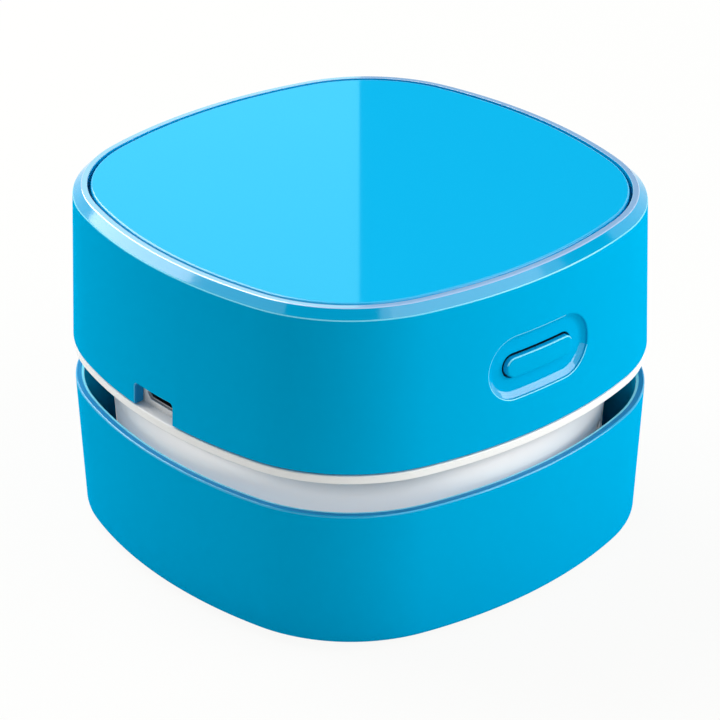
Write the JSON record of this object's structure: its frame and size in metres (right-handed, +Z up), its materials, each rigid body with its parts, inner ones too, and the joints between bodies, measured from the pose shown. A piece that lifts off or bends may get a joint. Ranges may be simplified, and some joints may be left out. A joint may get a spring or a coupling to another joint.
{
  "type": "desktop mini vacuum cleaner",
  "caption": "Palm-sized battery vacuum for desk crumbs: rounded square dust cup below, lift-off motor head above, exhaust gap between them.",
  "frame": {"origin": "on the desk, under the middle of the four feet", "axes": "+Z up through the rotor's axis; -Y is the side with the charging port; +X is the side with the power button"},
  "size_m": [0.0882, 0.0882, 0.0603],
  "materials": {
    "blue_abs": "gloss moulded",
    "white_abs": "satin moulded",
    "silver_abs": "satin moulded",
    "dark_abs": "fine texture",
    "black_rubber": "matte",
    "nylon_bristle": "satin strands",
    "filter_felt": "pressed felt",
    "plated_steel": "zinc plated",
    "bronze": "sintered",
    "ferrite": "ground",
    "electrical_steel": "stacked sheets",
    "copper": "enamelled wire",
    "black_nylon": "satin moulded",
    "white_acetal": "satin moulded",
    "fibreglass": "solder mask",
    "clear_resin": "clear cast",
    "shrink_sleeve": "shrunk film",
    "foam": "matte foam",
    "nickel": "plated strip",
    "red_sleeve": "satin wire sleeve",
    "black_sleeve": "satin wire sleeve",
    "white_sleeve": "satin wire sleeve",
    "yellow_sleeve": "satin wire sleeve"
  },
  "bodies": {
    "dust_cup": {"lower_shell": "blue_abs", "base_plate": "dark_abs", "brush_strip_front": "nylon_bristle", "brush_strip_rear": "nylon_bristle", "glide_foot_1": "black_rubber", "glide_foot_2": "black_rubber", "glide_foot_3": "black_rubber", "glide_foot_4": "black_rubber", "base_screw_1": "plated_steel", "base_screw_2": "plated_steel", "base_screw_3": "plated_steel", "base_screw_4": "plated_steel", "inlet_duct": "white_abs"},
    "filter_unit": {"filter_frame": "dark_abs", "filter_pad": "filter_felt", "filter_seal": "black_rubber"},
    "motor_head": {"fan_housing": "silver_abs", "motor_deck": "white_abs", "upper_shell": "blue_abs", "top_cap": "blue_abs", "head_screw_1": "plated_steel", "head_screw_2": "plated_steel", "head_screw_3": "plated_steel", "head_screw_4": "plated_steel", "switch_body": "black_nylon", "switch_board": "fibreglass", "port_socket": "plated_steel", "port_tongue": "black_nylon", "charge_board": "fibreglass", "charge_led": "clear_resin", "motor_can": "plated_steel", "motor_end_cap": "black_nylon", "motor_bush_lower": "bronze", "motor_bush_upper": "bronze", "magnet_left": "ferrite", "magnet_right": "ferrite", "motor_gasket": "black_rubber", "motor_screw_left": "plated_steel", "motor_screw_right": "plated_steel", "battery_cell": "shrink_sleeve", "battery_pad": "foam", "battery_tab_minus": "nickel", "battery_tab_plus": "nickel", "battery_wire_plus": "red_sleeve", "battery_wire_minus": "black_sleeve", "motor_wire_plus": "red_sleeve", "motor_wire_minus": "black_sleeve", "switch_wire_left": "white_sleeve", "switch_wire_right": "yellow_sleeve"},
    "power_button": {"power_button": "blue_abs", "switch_plunger": "white_acetal"},
    "rotor": {"motor_shaft": "plated_steel", "motor_armature": "electrical_steel", "armature_coil_1": "copper", "armature_coil_2": "copper", "armature_coil_3": "copper", "commutator": "copper", "impeller": "black_nylon"}
  },
  "joints": [
    {"name": "filter_lift", "type": "slide", "parent": "dust_cup", "child": "filter_unit", "axis": [0, 0, 1], "range_m": [0, 0.03]},
    {"name": "head_lift", "type": "slide", "parent": "filter_unit", "child": "motor_head", "axis": [0, 0, 1], "range_m": [0, 0.04]},
    {"name": "button_press", "type": "slide", "parent": "motor_head", "child": "power_button", "axis": [-1, 0, 0], "range_m": [0, 0.0008], "stiffness_N_per_m": 2000, "springref_m": -0.0005},
    {"name": "rotor_spin", "type": "hinge", "parent": "motor_head", "child": "rotor", "pos_m": [0, 0, 0.035], "axis": [0, 0, 1], "continuous": true}
  ]
}
